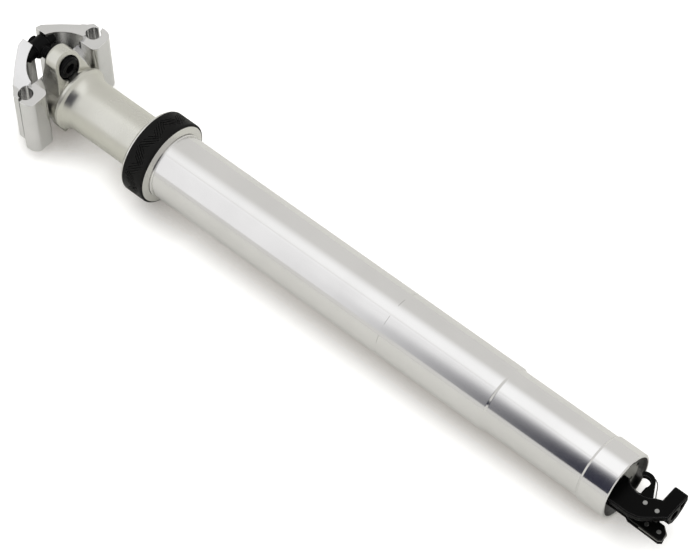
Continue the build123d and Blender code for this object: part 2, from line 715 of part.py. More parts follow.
# Lower cradle: two rail hooks joined by a web that rocks in the head's trough
with BuildPart() as lower_cradle:
    with BuildSketch(Plane.YZ):
        with Locations((0, PIVOT_Z)):
            Circle(TROUGH_R - RUNNING_GAP)
        with Locations((0, PIVOT_Z - CRADLE_WEB_DROP)):
            Rectangle(
                4 * TROUGH_R,
                4 * TROUGH_R,
                align=(Align.CENTER, Align.MIN),
                mode=Mode.SUBTRACT,
            )
    extrude(amount=CRADLE_WEB_HALF_WIDTH, both=True)
    for side in (1, -1):
        hook_inner = beside_rail(HOOK_INNER_SHARES, side, RAIL_R, RAIL_R)
        hook_inner_arc = beside_rail(HOOK_INNER_ARC_SHARES, side, RAIL_R, RAIL_R)
        hook_outer_foot = beside_rail([HOOK_OUTER_FOOT_SHARES], side, RAIL_R, RAIL_R)[0]
        hook_outer_arc = beside_rail(HOOK_OUTER_ARC_SHARES, side, RAIL_R, RAIL_R)
        hook_tip = beside_rail(HOOK_TIP_SHARES, side, RAIL_R, RAIL_R)
        with BuildSketch(Plane.XZ):
            with BuildLine():
                Polyline(*hook_inner)
                ThreePointArc(hook_inner[-1], *hook_inner_arc)
                Line(hook_inner_arc[-1], hook_outer_foot)
                ThreePointArc(hook_outer_foot, *hook_outer_arc)
                Polyline(hook_outer_arc[-1], *hook_tip, hook_inner[0])
            make_face()
            with Locations((side * RAIL_X, rail_z)):
                Circle(RAIL_R, mode=Mode.SUBTRACT)
        extrude(amount=CRADLE_HALF_LENGTH, both=True)
save(lower_cradle, "lower_cradle")


def upper_clamp(side):
    """Make one upper clamp; side is 1 for +X and -1 for -X."""
    span = RAIL_X - CLAMP_INNER_X
    lip = beside_rail(CLAMP_LIP_SHARES, side, RAIL_R, RAIL_R)
    top = beside_rail(CLAMP_TOP_SHARES, side, span, RAIL_DROP)
    arch = beside_rail(CLAMP_ARCH_SHARES, side, span, RAIL_DROP)
    foot = beside_rail(CLAMP_FOOT_SHARES, side, RAIL_R, RAIL_R)
    with BuildPart() as body:
        with BuildSketch(Plane.XZ):
            with BuildLine():
                Polyline(*lip, *top)
                ThreePointArc(top[-1], *arch)
                Polyline(arch[-1], *foot, lip[0])
            make_face()
            with Locations((side * RAIL_X, rail_z)):
                Circle(RAIL_R, mode=Mode.SUBTRACT)
        extrude(amount=CLAMP_END_HALF_LENGTH, both=True)
        lip_x = RAIL_X + RAIL_R * CLAMP_LIP_SHARES[0][0]
        plan = [
            (CLAMP_INNER_X, -CLAMP_END_HALF_LENGTH),
            (RAIL_X, -CRADLE_HALF_LENGTH),
            (lip_x, -CRADLE_HALF_LENGTH),
            (lip_x, CRADLE_HALF_LENGTH - CLAMP_REAR_CORNER),
            (RAIL_X, CRADLE_HALF_LENGTH),
            (CLAMP_INNER_X, CLAMP_END_HALF_LENGTH),
        ]
        with BuildSketch(Plane.XY.offset(rail_z - RAIL_R)):
            with BuildLine():
                Polyline(*[(side * x, y) for x, y in plan], close=True)
            make_face()
        extrude(amount=2 * TROUGH_R, mode=Mode.INTERSECT)
        for y in (-LUG_Y, LUG_Y):
            with Locations((0, y, PIVOT_Z)):
                Cylinder(
                    NUT_JOURNAL_R + RUNNING_GAP,
                    2 * (NUT_HALF_WIDTH + NUT_JOURNAL_REACH + RUNNING_GAP),
                    rotation=(0, 90, 0),
                    mode=Mode.SUBTRACT,
                )
    return body


upper_clamp_right = upper_clamp(1)
save(upper_clamp_right, "upper_clamp_right")
upper_clamp_left = upper_clamp(-1)
save(upper_clamp_left, "upper_clamp_left")

# Actuator bracket: a front arm that ends in the cable housing's stop block
arm_back_y = ARM_FRONT_Y + ARM_THICKNESS
arm_neck = hanging(ARM_NECK_SHARES, ACTUATOR_DROP)
arm_hollow = hanging(ARM_HOLLOW_SHARES, ACTUATOR_DROP)
arm_notch = hanging(ARM_NOTCH_SHARES, ACTUATOR_DROP)
arm_foot = hanging(ARM_FOOT_SHARES, ACTUATOR_DROP)
with BuildPart() as actuator_bracket:
    with BuildSketch(Plane.XZ.offset(-arm_back_y)):
        with BuildLine():
            Polyline(*arm_neck)
            ThreePointArc(arm_neck[-1], *arm_hollow)
            Polyline(
                arm_hollow[-1],
                *arm_notch,
                (BLOCK_RIGHT_X, block_top_z),
                (BLOCK_RIGHT_X, block_end_z),
                *arm_foot,
                arm_neck[0],
            )
        make_face()
    extrude(amount=ARM_THICKNESS)
    with BuildSketch(Plane.XY.offset(block_end_z)):
        with BuildLine():
            Polyline(
                (BLOCK_LEFT_X, ARM_FRONT_Y),
                (BLOCK_RIGHT_X, ARM_FRONT_Y),
                (BLOCK_RIGHT_X, arm_back_y),
                (BLOCK_RIGHT_X * 2 / 3, 0),
                (BLOCK_RIGHT_X / 3, BLOCK_BACK_Y * 5 / 6),
                (0, BLOCK_BACK_Y),
                (BLOCK_LEFT_X, BLOCK_BACK_Y / 6),
                close=True,
            )
        make_face()
    extrude(amount=BLOCK_HEIGHT)
    fillet(actuator_bracket.edges().filter_by(Axis.Y).group_by(Axis.X)[-1], BLOCK_ROUND)
    front_face = actuator_bracket.faces().sort_by(Axis.Y)[0]
    chamfer(front_face.edges().sort_by(Axis.Z)[:-1], ARM_EDGE)
    with Locations((HOUSING_X, HOUSING_Y, block_end_z)):
        Cylinder(
            HOUSING_R,
            HOUSING_DEPTH,
            align=(Align.CENTER, Align.CENTER, Align.MIN),
            mode=Mode.SUBTRACT,
        )
        Cylinder(CABLE_HOLE_R, 4 * HOUSING_DEPTH, mode=Mode.SUBTRACT)
    with BuildSketch(Plane.XY.offset(block_end_z)):
        with BuildLine():
            Polyline(
                (HOUSING_X + 3 * HOUSING_R / 2, ARM_FRONT_Y + CUT_OVERRUN),
                (BLOCK_RIGHT_X - CUT_OVERRUN, ARM_FRONT_Y + CUT_OVERRUN),
                (BLOCK_RIGHT_X - CUT_OVERRUN, arm_back_y - CUT_OVERRUN / 2),
                (HOUSING_X + 3 * HOUSING_R / 2, HOUSING_Y + HOUSING_R),
                close=True,
            )
        make_face()
    extrude(amount=SIDE_POCKET_DEPTH, mode=Mode.SUBTRACT)
    with BuildSketch(Plane.XZ.offset(-arm_back_y)):
        with Locations(pin_a, pin_b):
            Circle(PIN_R)
    extrude(amount=ARM_THICKNESS, mode=Mode.SUBTRACT)
save(actuator_bracket, "actuator_bracket")

# Two side plates and the grey spacer riveted between them
plate_mid_y = PLATE_FRONT_Y + PLATE_THICKNESS
outer_front_y = plate_mid_y + SPACER_THICKNESS
plate_back_y = outer_front_y + PLATE_THICKNESS
plate_outline = hanging(PLATE_SHARES, PLATE_DROP)
spacer_outline = hanging(SPACER_SHARES, PLATE_DROP)
plate_holes = [pin_a, pin_b, rivet_1, rivet_2]
side_plate_inner = plate(plate_outline, PLATE_FRONT_Y, plate_mid_y, plate_holes)
save(side_plate_inner, "side_plate_inner")
side_plate_outer = plate(plate_outline, outer_front_y, plate_back_y, plate_holes)
save(side_plate_outer, "side_plate_outer")
plate_spacer = plate(spacer_outline, plate_mid_y, outer_front_y, [rivet_1, rivet_2])
save(plate_spacer, "plate_spacer")

# Steel pins through arm and plates, and the two shorter rivets
with BuildPart() as bracket_pins:
    with BuildSketch(Plane.XZ.offset(-plate_back_y)):
        with Locations(pin_a, pin_b):
            Circle(PIN_R)
    extrude(amount=plate_back_y - ARM_FRONT_Y + PIN_PROUD)
save(bracket_pins, "bracket_pins")
with BuildPart() as plate_rivets:
    with BuildSketch(Plane.XZ.offset(-plate_back_y)):
        with Locations(rivet_1, rivet_2):
            Circle(RIVET_R)
    extrude(amount=plate_back_y - PLATE_FRONT_Y + PIN_PROUD)
save(plate_rivets, "plate_rivets")


def cam_point(angle):
    """Give the pin tip's centre, as seen from the lever at a swing."""
    lift = PIN_LIFT * angle / LEVER_SWING
    reach_z = cam_contact_z + RELEASE_PIN_R + lift - pin_a[1]
    turn = math.radians(angle)
    x = PIN_X * math.cos(turn) - reach_z * math.sin(turn)
    z = PIN_X * math.sin(turn) + reach_z * math.cos(turn)
    return x, z


# The cam lies one pin radius below the path of the pin tip's centre
cam_surface = []
for step in range(-1, CAM_STEPS + 2):
    swing = LEVER_SWING * step / CAM_STEPS
    here = cam_point(swing)
    after = cam_point(swing + LEVER_SWING / CAM_STEPS)
    run = math.hypot(after[0] - here[0], after[1] - here[1])
    normal = ((after[1] - here[1]) / run, -(after[0] - here[0]) / run)
    cam_surface.append((
        pin_a[0] + here[0] - normal[0] * RELEASE_PIN_R,
        pin_a[1] + here[1] - normal[1] * RELEASE_PIN_R,
    ))
lobe_reach = LEVER_HUB_R * 4 / 5
lobe_low_z = pin_a[1] + LEVER_HUB_R * 3 / 5
cam_lobe = [
    (pin_a[0] - lobe_reach, lobe_low_z),
    (pin_a[0] - lobe_reach, cam_surface[-1][1] - CUT_OVERRUN),
    *cam_surface[::-1],
    (cam_surface[0][0] + CUT_OVERRUN, cam_surface[0][1] - 2 * CUT_OVERRUN),
    (pin_a[0] + lobe_reach, lobe_low_z),
]

# Release lever: hub and cam on pin A, hook for the cable's end
with BuildPart() as release_lever:
    with BuildSketch(Plane.XZ.offset(-lever_back_y)):
        with Locations(pin_a):
            Circle(LEVER_HUB_R)
        with Locations((HOOK_X, hook_z)):
            Circle(HOOK_R)
        with BuildLine():
            Polyline(
                (pin_a[0] + LEVER_HUB_R / 2, pin_a[1] - LEVER_HUB_R * 6 / 7),
                (HOOK_X + HOOK_R / 2, hook_z - HOOK_R * 6 / 7),
                (HOOK_X - HOOK_HOLE_R, hook_z - HOOK_HOLE_R / 2),
                (pin_a[0], pin_a[1] + LEVER_HUB_R),
                close=True,
            )
        make_face()
        with Locations((HOOK_X, hook_z)):
            Circle(HOOK_HOLE_R, mode=Mode.SUBTRACT)
        with BuildLine():
            Polyline(
                (HOOK_X, hook_z),
                (HOOK_X + HOOK_R, hook_z + HOOK_R),
                (HOOK_X - 2 * HOOK_R, hook_z + HOOK_R),
                (HOOK_X - 2 * HOOK_R, hook_z - HOOK_HOLE_R * 4 / 5),
                (HOOK_X - HOOK_HOLE_R / 2, hook_z - HOOK_HOLE_R * 4 / 5),
                close=True,
            )
        make_face(mode=Mode.SUBTRACT)
    extrude(amount=LEVER_THICKNESS)
    with BuildSketch(Plane.XZ.offset(-lever_back_y)):
        with BuildLine():
            Polyline(*cam_lobe, close=True)
        make_face()
    extrude(amount=LEVER_THICKNESS)
    with BuildSketch(Plane.XZ.offset(-lever_boss_back_y)):
        with BuildLine():
            Polyline(*cam_lobe, close=True)
        make_face()
        with Locations(pin_a):
            Circle(SPRING_COIL_R + 2 * SPRING_WIRE_R, mode=Mode.SUBTRACT)
            Circle(LEVER_BOSS_R)
    extrude(amount=LEVER_BOSS_LENGTH)
    with BuildSketch(Plane.XZ.offset(-lever_boss_back_y)):
        with Locations(pin_a):
            Circle(PIN_R + RUNNING_GAP)
    extrude(amount=LEVER_BOSS_LENGTH + LEVER_THICKNESS, mode=Mode.SUBTRACT)
save(release_lever, "release_lever")

# Return spring: a coil round the lever's boss and a leg along its edge
coil_height = SPRING_TURNS * SPRING_PITCH
with BuildPart() as return_spring:
    with BuildLine() as spring_path:
        coil = Helix(
            SPRING_PITCH,
            coil_height,
            SPRING_COIL_R,
            center=(pin_a[0], SPRING_Y + coil_height, pin_a[1]),
            direction=(0, -1, 0),
        )
        Spline(
            coil @ 1,
            *[(HOOK_X + HOOK_R * x, SPRING_Y, hook_z + HOOK_R * z) for x, z in SPRING_LEG_SHARES],
            tangents=[coil % 1, SPRING_LEG_END],
        )
    spring_wire = spring_path.wire()
    with BuildSketch(Plane(origin=spring_wire @ 0, z_dir=spring_wire % 0)):
        Circle(SPRING_WIRE_R)
    sweep(path=spring_wire, is_frenet=True)
save(return_spring, "return_spring")

# The spring's least gap to itself, measured between points far apart on its wire
wire_points = [spring_wire @ (i / SPRING_SAMPLES) for i in range(SPRING_SAMPLES + 1)]
apart = math.ceil(SPRING_SAMPLES * SPRING_COIL_R / spring_wire.length)
least_gap = min(
    (wire_points[j] - wire_points[i]).length - 2 * SPRING_WIRE_R
    for i in range(SPRING_SAMPLES + 1)
    for j in range(i + apart, SPRING_SAMPLES + 1)
)
print("spring's least gap to itself in mm:", round(least_gap, 3))
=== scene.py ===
"""Looks of a dropper seatpost: the finish of every piece, the light and the camera.

The post lies on a pale surface whose normal is -Y, as in the photograph. All lengths
are in metres unless a name ends in _mm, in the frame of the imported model: +Z runs
along the post to the saddle and -Y is the side that faces up.
"""

from __future__ import annotations

import logging
import math
from dataclasses import dataclass
from enum import Enum

import bpy
from mathutils import Matrix, Vector


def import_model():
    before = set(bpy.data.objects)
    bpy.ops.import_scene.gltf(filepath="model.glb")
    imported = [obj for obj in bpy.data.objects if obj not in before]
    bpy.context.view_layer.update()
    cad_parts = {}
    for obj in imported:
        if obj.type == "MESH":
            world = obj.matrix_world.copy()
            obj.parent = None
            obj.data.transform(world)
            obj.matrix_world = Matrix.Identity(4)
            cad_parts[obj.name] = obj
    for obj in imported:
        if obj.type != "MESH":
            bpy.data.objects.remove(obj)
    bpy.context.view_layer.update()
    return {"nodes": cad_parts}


LOG = logging.getLogger("seatpost")
MM = 0.001
# The sRGB curve: a straight foot up to SRGB_FOOT, then a power
SRGB_FOOT = 0.04045
SRGB_SLOPE = 12.92
SRGB_OFFSET = 0.055
SRGB_POWER = 2.4
# Size of the photograph in pixels
IMAGE_WIDTH = 700
IMAGE_HEIGHT = 560
# The camera's sensor in millimetres, and how far it sees in metres
SENSOR_WIDTH = 36.0
CLIP_END = 20.0
# Detail of the noise behind the fine marks and behind the slow blotches
MARK_DETAIL = 3.0
BLOTCH_DETAIL = 4.0
# Noise levels between which the blotches drift from one colour to the other
BLOTCH_LEVELS = (0.35, 0.65)
# Sums of marks and blotches between which the roughness swings
ROUGH_LEVELS = (0.4, 1.6)
LEAST_ROUGHNESS = 0.02
COAT_ROUGHNESS = 0.15
# A quarter turn, which lays stretched highlights along the post
ANISOTROPY_TURN = 0.25
# Cosines of the turn of the rounded normal between which an edge looks rubbed
EDGE_COSINES = (0.995, 0.86)
BEVEL_SAMPLES = 6
OPENNESS_SAMPLES = 8
# Places of a Mix node's sockets when it mixes colours
MIX_SHARE, MIX_FIRST, MIX_SECOND, MIX_RESULT = 0, 6, 7, 2
WHITE = "#ffffff"


def linear(colour: str) -> tuple[float, float, float, float]:
    """Turn an sRGB hex colour into linear values.

    Args:
        colour: Six hex digits with a leading hash sign.

    Returns:
        Red, green, blue and alpha in linear light.
    """
    channels = []
    for start in (1, 3, 5):
        value = int(colour[start : start + 2], 16) / 255
        if value <= SRGB_FOOT:
            channels.append(value / SRGB_SLOPE)
        else:
            channels.append(((value + SRGB_OFFSET) / (1 + SRGB_OFFSET)) ** SRGB_POWER)
    return (channels[0], channels[1], channels[2], 1.0)


def add_node(
    tree: bpy.types.NodeTree,
    kind: str,
    settings: dict[int | str, object] | None = None,
    links: dict[int | str, bpy.types.NodeSocket] | None = None,
    **attributes: object,
) -> bpy.types.Node:
    """Add a node with its settings and links.

    Args:
        tree: Node tree that takes the node.
        kind: Type name of the node.
        settings: Values for input sockets, by name or place.
        links: Output sockets that feed input sockets, by name or place.
        attributes: Properties of the node itself.

    Returns:
        The new node.
    """
    node = tree.nodes.new(kind)
    for name, value in attributes.items():
        setattr(node, name, value)
    for key, value in (settings or {}).items():
        node.inputs[key].default_value = value
    for key, socket in (links or {}).items():
        tree.links.new(socket, node.inputs[key])
    return node


def new_material(name: str) -> bpy.types.Material:
    """Make a material with an empty node tree."""
    material = bpy.data.materials.new(name)
    material.use_nodes = True
    material.node_tree.nodes.clear()
    return material


def product(
    tree: bpy.types.NodeTree, first: bpy.types.NodeSocket, second: bpy.types.NodeSocket
) -> bpy.types.NodeSocket:
    """Multiply two values."""
    return add_node(
        tree, "ShaderNodeMath", {}, {0: first, 1: second}, operation="MULTIPLY"
    ).outputs[0]


def place_along(
    tree: bpy.types.NodeTree,
    place: bpy.types.NodeSocket,
    direction: tuple[float, float, float],
) -> bpy.types.NodeSocket:
    """Measure how far a place lies along a direction.

    Args:
        tree: Node tree that takes the nodes.
        place: Object coordinates.
        direction: The direction to measure along.

    Returns:
        The distance along the direction, times the direction's length.
    """
    return add_node(
        tree, "ShaderNodeVectorMath", {1: direction}, {0: place}, operation="DOT_PRODUCT"
    ).outputs["Value"]


def blend(
    tree: bpy.types.NodeTree,
    share: bpy.types.NodeSocket,
    first: str | bpy.types.NodeSocket,
    second: str | bpy.types.NodeSocket,
) -> bpy.types.NodeSocket:
    """Mix two colours.

    Args:
        tree: Node tree that takes the node.
        share: Share of the second colour.
        first: A colour as sRGB hex or as a socket.
        second: A colour as sRGB hex or as a socket.

    Returns:
        The mixed colour.
    """
    settings = {}
    links = {MIX_SHARE: share}
    for place, colour in ((MIX_FIRST, first), (MIX_SECOND, second)):
        if isinstance(colour, str):
            settings[place] = linear(colour)
        else:
            links[place] = colour
    mix = add_node(tree, "ShaderNodeMix", settings, links, data_type="RGBA")
    return mix.outputs[MIX_RESULT]


def openness(tree: bpy.types.NodeTree, reach: float) -> bpy.types.NodeSocket:
    """Measure how open a surface is within a reach in metres; 1 is fully open."""
    return add_node(
        tree, "ShaderNodeAmbientOcclusion", {"Distance": reach}, samples=OPENNESS_SAMPLES
    ).outputs["AO"]


def remap(
    tree: bpy.types.NodeTree,
    value: bpy.types.NodeSocket,
    place: tuple[float, float],
    levels: tuple[float, float] = (0.0, 1.0),
    soft: bool = False,
) -> bpy.types.NodeSocket:
    """Turn a value into a level that changes between two places.

    Args:
        tree: Node tree that takes the node.
        value: The value to turn.
        place: Where the change starts and ends.
        levels: The level at the start and at the end.
        soft: Whether the change eases in and out.

    Returns:
        The level.
    """
    settings = {
        "From Min": place[0],
        "From Max": place[1],
        "To Min": levels[0],
        "To Max": levels[1],
    }
    return add_node(
        tree,
        "ShaderNodeMapRange",
        settings,
        {"Value": value},
        interpolation_type="SMOOTHSTEP" if soft else "LINEAR",
    ).outputs["Result"]


class Grain(Enum):
    """Direction of fine marks: how many fit in a metre along X, Y and Z at a 1 mm spacing."""

    TURNED = (60.0, 60.0, 1000.0)
    DRAWN = (1000.0, 1000.0, 25.0)
    EVEN = (1000.0, 1000.0, 1000.0)


@dataclass(frozen=True)
class Finish:
    """One finish: a shader with grain, blotches, worn edges and painted edge highlights.

    Attributes:
        name: Name of the material.
        colour: Main colour as sRGB hex.
        second: Colour that the blotches drift to, as sRGB hex.
        metallic: Share of metal in the surface.
        roughness: Middle roughness.
        roughness_drift: How far the roughness swings about its middle.
        grain: Direction of the fine marks.
        grain_mm: Spacing of the fine marks.
        grain_depth_mm: Height of the fine marks.
        blotch_mm: Size of the slow drift in colour and roughness.
        edge_mm: Radius by which sharp edges look broken.
        edge_colour: Colour of the edges, partly wear and partly painted highlight, as sRGB
            hex.
        edge_share: How far the edges go to that colour.
        anisotropy: How far highlights stretch across the fine marks.
        coat: Weight of a clear layer on top.
        specular: How strongly a surface that isn't metal reflects; 0.5 is plain plastic.
    """

    name: str
    colour: str
    second: str
    metallic: float
    roughness: float
    roughness_drift: float = 0.05
    grain: Grain = Grain.EVEN
    grain_mm: float = 0.3
    grain_depth_mm: float = 0.002
    blotch_mm: float = 25.0
    edge_mm: float = 0.25
    edge_colour: str = WHITE
    edge_share: float = 0.0
    anisotropy: float = 0.0
    coat: float = 0.0
    specular: float = 0.5

    def build(self) -> bpy.types.Material:
        """Build the material.

        Returns:
            The material with its nodes.
        """
        material = new_material(self.name)
        tree = material.node_tree
        place = add_node(tree, "ShaderNodeTexCoord").outputs["Object"]
        marks, drift = self.build_noise(tree, place)
        colour = blend(tree, drift, self.colour, self.second)
        bevel = add_node(
            tree, "ShaderNodeBevel", {"Radius": self.edge_mm * MM}, samples=BEVEL_SAMPLES
        ).outputs["Normal"]
        # The edge colour is partly wear and partly a painted highlight.
        if self.edge_share > 0:
            colour = self.rub_and_highlight_edges(tree, colour, bevel, marks)
        colour = self.decorate(tree, colour, place)
        bump = add_node(
            tree,
            "ShaderNodeBump",
            {"Strength": 1.0, "Distance": self.grain_depth_mm * MM},
            {"Height": marks, "Normal": bevel},
        ).outputs["Normal"]
        mixed = add_node(
            tree, "ShaderNodeMath", {}, {0: marks, 1: drift}, operation="ADD"
        ).outputs[0]
        smoothest = max(self.roughness - self.roughness_drift, LEAST_ROUGHNESS)
        roughest = self.roughness + self.roughness_drift
        roughness = remap(tree, mixed, ROUGH_LEVELS, (smoothest, roughest))
        links = {"Base Color": colour, "Roughness": roughness, "Normal": bump}
        if self.anisotropy:
            links["Tangent"] = add_node(
                tree, "ShaderNodeTangent", direction_type="RADIAL", axis="Z"
            ).outputs[0]
        shader = add_node(
            tree,
            "ShaderNodeBsdfPrincipled",
            {
                "Metallic": self.metallic,
                "Anisotropic": self.anisotropy,
                "Anisotropic Rotation": ANISOTROPY_TURN,
                "Coat Weight": self.coat,
                "Coat Roughness": COAT_ROUGHNESS,
                "Specular IOR Level": self.specular,
            },
            links,
        )
        add_node(tree, "ShaderNodeOutputMaterial", {}, {"Surface": shader.outputs[0]})
        return material

    def build_noise(
        self, tree: bpy.types.NodeTree, place: bpy.types.NodeSocket
    ) -> tuple[bpy.types.NodeSocket, bpy.types.NodeSocket]:
        """Add the two noises behind the finish.

        Args:
            tree: Node tree of the material.
            place: Object coordinates.

        Returns:
            The fine marks and the slow drift of the blotches.
        """
        stretched = add_node(
            tree,
            "ShaderNodeVectorMath",
            {1: tuple(count / self.grain_mm for count in self.grain.value)},
            {0: place},
            operation="MULTIPLY",
        ).outputs[0]
        marks = add_node(
            tree,
            "ShaderNodeTexNoise",
            {"Scale": 1.0, "Detail": MARK_DETAIL},
            {"Vector": stretched},
        ).outputs["Fac"]
        blotches = add_node(
            tree,
            "ShaderNodeTexNoise",
            {"Scale": 1 / (self.blotch_mm * MM), "Detail": BLOTCH_DETAIL},
            {"Vector": place},
        ).outputs["Fac"]
        return marks, remap(tree, blotches, BLOTCH_LEVELS)

    def rub_and_highlight_edges(
        self,
        tree: bpy.types.NodeTree,
        colour: bpy.types.NodeSocket,
        bevel: bpy.types.NodeSocket,
        marks: bpy.types.NodeSocket,
    ) -> bpy.types.NodeSocket:
        """Mix the edge colour in where the rounded normal leaves the flat one.

        Args:
            tree: Node tree of the material.
            colour: Colour so far.
            bevel: Normal with rounded edges.
            marks: Fine marks that break the rubbed line up.

        Returns:
            The colour with rubbed edges and painted edge highlights.
        """
        flat = add_node(tree, "ShaderNodeNewGeometry").outputs["Normal"]
        same = add_node(
            tree, "ShaderNodeVectorMath", {}, {0: bevel, 1: flat}, operation="DOT_PRODUCT"
        ).outputs["Value"]
        turned = remap(tree, same, EDGE_COSINES, (0.0, self.edge_share))
        return blend(tree, product(tree, turned, marks), colour, self.edge_colour)

    def decorate(
        self,
        tree: bpy.types.NodeTree,
        colour: bpy.types.NodeSocket,
        place: bpy.types.NodeSocket,
    ) -> bpy.types.NodeSocket:
        """Leave the colour as it is; finishes with marks, zones or grooves change it."""
        return colour


@dataclass(frozen=True)
class MarkedTube(Finish):
    """The tube's finish with a ring of short etched dashes for the insertion depth.

    Attributes:
        mark_z: Height of the ring of dashes.
        mark_height: Width of the dashes' line along the tube.
        mark_count: Number of dashes round the tube.
        mark_share: Share of the round that the dashes take.
        mark_phase: Shift of the dashes round the tube, as a share of their spacing.
        mark_colour: Colour of the dashes, as sRGB hex.
    """

    mark_z: float = -0.1297
    mark_height: float = 0.00025
    mark_count: int = 10
    mark_share: float = 0.44
    mark_phase: float = 0.556
    mark_colour: str = "#b9b8b6"

    def decorate(
        self,
        tree: bpy.types.NodeTree,
        colour: bpy.types.NodeSocket,
        place: bpy.types.NodeSocket,
    ) -> bpy.types.NodeSocket:
        """Paint the dashes over the metal's colour.

        Args:
            tree: Node tree of the material.
            colour: Colour so far.
            place: Object coordinates.

        Returns:
            The colour with the ring of dashes.
        """
        parts = add_node(tree, "ShaderNodeSeparateXYZ", {}, {0: place}).outputs
        near = add_node(
            tree,
            "ShaderNodeMath",
            {1: self.mark_z, 2: self.mark_height / 2},
            {0: parts["Z"]},
            operation="COMPARE",
        ).outputs[0]
        angle = add_node(
            tree, "ShaderNodeMath", {}, {0: parts["Y"], 1: parts["X"]}, operation="ARCTAN2"
        ).outputs[0]
        steps = add_node(
            tree,
            "ShaderNodeMath",
            {1: self.mark_count / (2 * math.pi), 2: self.mark_phase},
            {0: angle},
            operation="MULTIPLY_ADD",
        ).outputs[0]
        phase = add_node(tree, "ShaderNodeMath", {}, {0: steps}, operation="FRACT").outputs[0]
        dash = add_node(
            tree,
            "ShaderNodeMath",
            {1: self.mark_share},
            {0: phase},
            operation="LESS_THAN",
        ).outputs[0]
        return blend(tree, product(tree, near, dash), colour, self.mark_colour)


@dataclass(frozen=True)
class ZonedFinish(Finish):
    """A finish with one darker zone round an axis that runs along Z.

    Attributes:
        zone_x: X of the zone's axis.
        zone_radii: Radii between which the zone lies.
        zone_top: Height under which the zone lies.
        zone_colour: Colour of the zone, as sRGB hex.
    """

    zone_x: float = 0.0
    zone_radii: tuple[float, float] = (0.0, 1.0)
    zone_top: float = 0.0
    zone_colour: str = "#000000"

    def decorate(
        self,
        tree: bpy.types.NodeTree,
        colour: bpy.types.NodeSocket,
        place: bpy.types.NodeSocket,
    ) -> bpy.types.NodeSocket:
        """Darken the zone.

        Args:
            tree: Node tree of the material.
            colour: Colour so far.
            place: Object coordinates.

        Returns:
            The colour with the zone.
        """
        arm = place
        for operation, vector in (
            ("ADD", (-self.zone_x, 0.0, 0.0)),
            ("MULTIPLY", (1.0, 1.0, 0.0)),
        ):
            arm = add_node(
                tree, "ShaderNodeVectorMath", {1: vector}, {0: arm}, operation=operation
            ).outputs[0]
        length = add_node(tree, "ShaderNodeVectorMath", {}, {0: arm}, operation="LENGTH")
        radius = length.outputs["Value"]
        height = add_node(tree, "ShaderNodeSeparateXYZ", {}, {0: place}).outputs["Z"]
        mask = add_node(
            tree, "ShaderNodeMath", {1: self.zone_top}, {0: height}, operation="LESS_THAN"
        ).outputs[0]
        for limit, side in zip(self.zone_radii, ("GREATER_THAN", "LESS_THAN")):
            inside = add_node(
                tree, "ShaderNodeMath", {1: limit}, {0: radius}, operation=side
            ).outputs[0]
            mask = product(tree, mask, inside)
        return blend(tree, mask, colour, self.zone_colour)


@dataclass(frozen=True)
class GrooveShadedFinish(Finish):
    """A finish with painted shade down in narrow grooves.

    Attributes:
        groove_mm: How near a wall has to be to count.
        groove_open: Openness between which the colour changes.
        groove_shade_colour: Colour of the painted shade down in the grooves, as sRGB hex.
    """

    groove_mm: float = 0.5
    groove_open: tuple[float, float] = (0.5, 1.0)
    groove_shade_colour: str = "#000000"

    def decorate(
        self,
        tree: bpy.types.NodeTree,
        colour: bpy.types.NodeSocket,
        place: bpy.types.NodeSocket,
    ) -> bpy.types.NodeSocket:
        """Paint shade into the grooves.

        Args:
            tree: Node tree of the material.
            colour: Colour so far.
            place: Object coordinates.

        Returns:
            The colour with painted shade in the grooves.
        """
        # Painted shade: the surface turns to the groove colour where walls close it in.
        clear = remap(tree, openness(tree, self.groove_mm * MM), self.groove_open)
        return blend(tree, clear, self.groove_shade_colour, colour)


# Aluminium ground and polished round its axis, then clear anodised: sharp reflections
# that smear along the post, and a faint grain. The tube and its cap have it.
POLISH: dict[str, object] = {
    "colour": "#e3e2e2",
    "second": "#dfdede",
    "metallic": 1.0,
    "roughness": 0.13,
    "roughness_drift": 0.02,
    "grain": Grain.TURNED,
    "grain_mm": 0.45,
    "grain_depth_mm": 0.00015,
    "anisotropy": 0.3,
}
POLISHED_TUBE = MarkedTube(name="aluminium_polished_clear_anodised", **POLISH)
# The cap's bore gets painted shade: its metal turns dark low down inside the bore.
SHADE_PAINTED_CAP = ZonedFinish(
    name="aluminium_polished_painted_shade_bore",
    **POLISH,
    zone_radii=(0.0, 0.0137),
    zone_top=-0.24,
    # Colour of the painted shade in the bore.
    zone_colour="#2b2720",
)
# Forged aluminium, bead blasted and anodised in a pale champagne: soft, broad highlights.
CHAMPAGNE_HEAD = Finish(
    name="aluminium_blasted_champagne_anodised",
    colour="#d5d4cd",
    second="#cfcec6",
    metallic=1.0,
    roughness=0.3,
    grain_mm=0.25,
    grain_depth_mm=0.002,
    edge_mm=0.35,
    edge_colour="#efeee8",
    edge_share=0.6,
)
# Forged aluminium clamps, tumbled and silver anodised: bright and satin; their broken
# edges are white, partly from wear and partly as a painted highlight.
TUMBLED_CLAMP = Finish(
    name="aluminium_tumbled_silver_anodised",
    colour="#e2e1e2",
    second="#dadada",
    metallic=1.0,
    roughness=0.17,
    grain_mm=0.3,
    grain_depth_mm=0.0025,
    edge_mm=0.35,
    # White along the edges: partly wear, partly painted highlight.
    edge_colour=WHITE,
    edge_share=0.7,
)
# Turned aluminium collar: fine rings from the lathe and near mirror flanks.
TURNED_COLLAR = Finish(
    name="aluminium_turned_clear_anodised",
    colour="#e0dfdc",
    second="#d9d8d4",
    metallic=1.0,
    roughness=0.16,
    grain=Grain.TURNED,
    grain_mm=0.2,
    grain_depth_mm=0.0006,
    anisotropy=0.4,
    edge_mm=0.15,
)
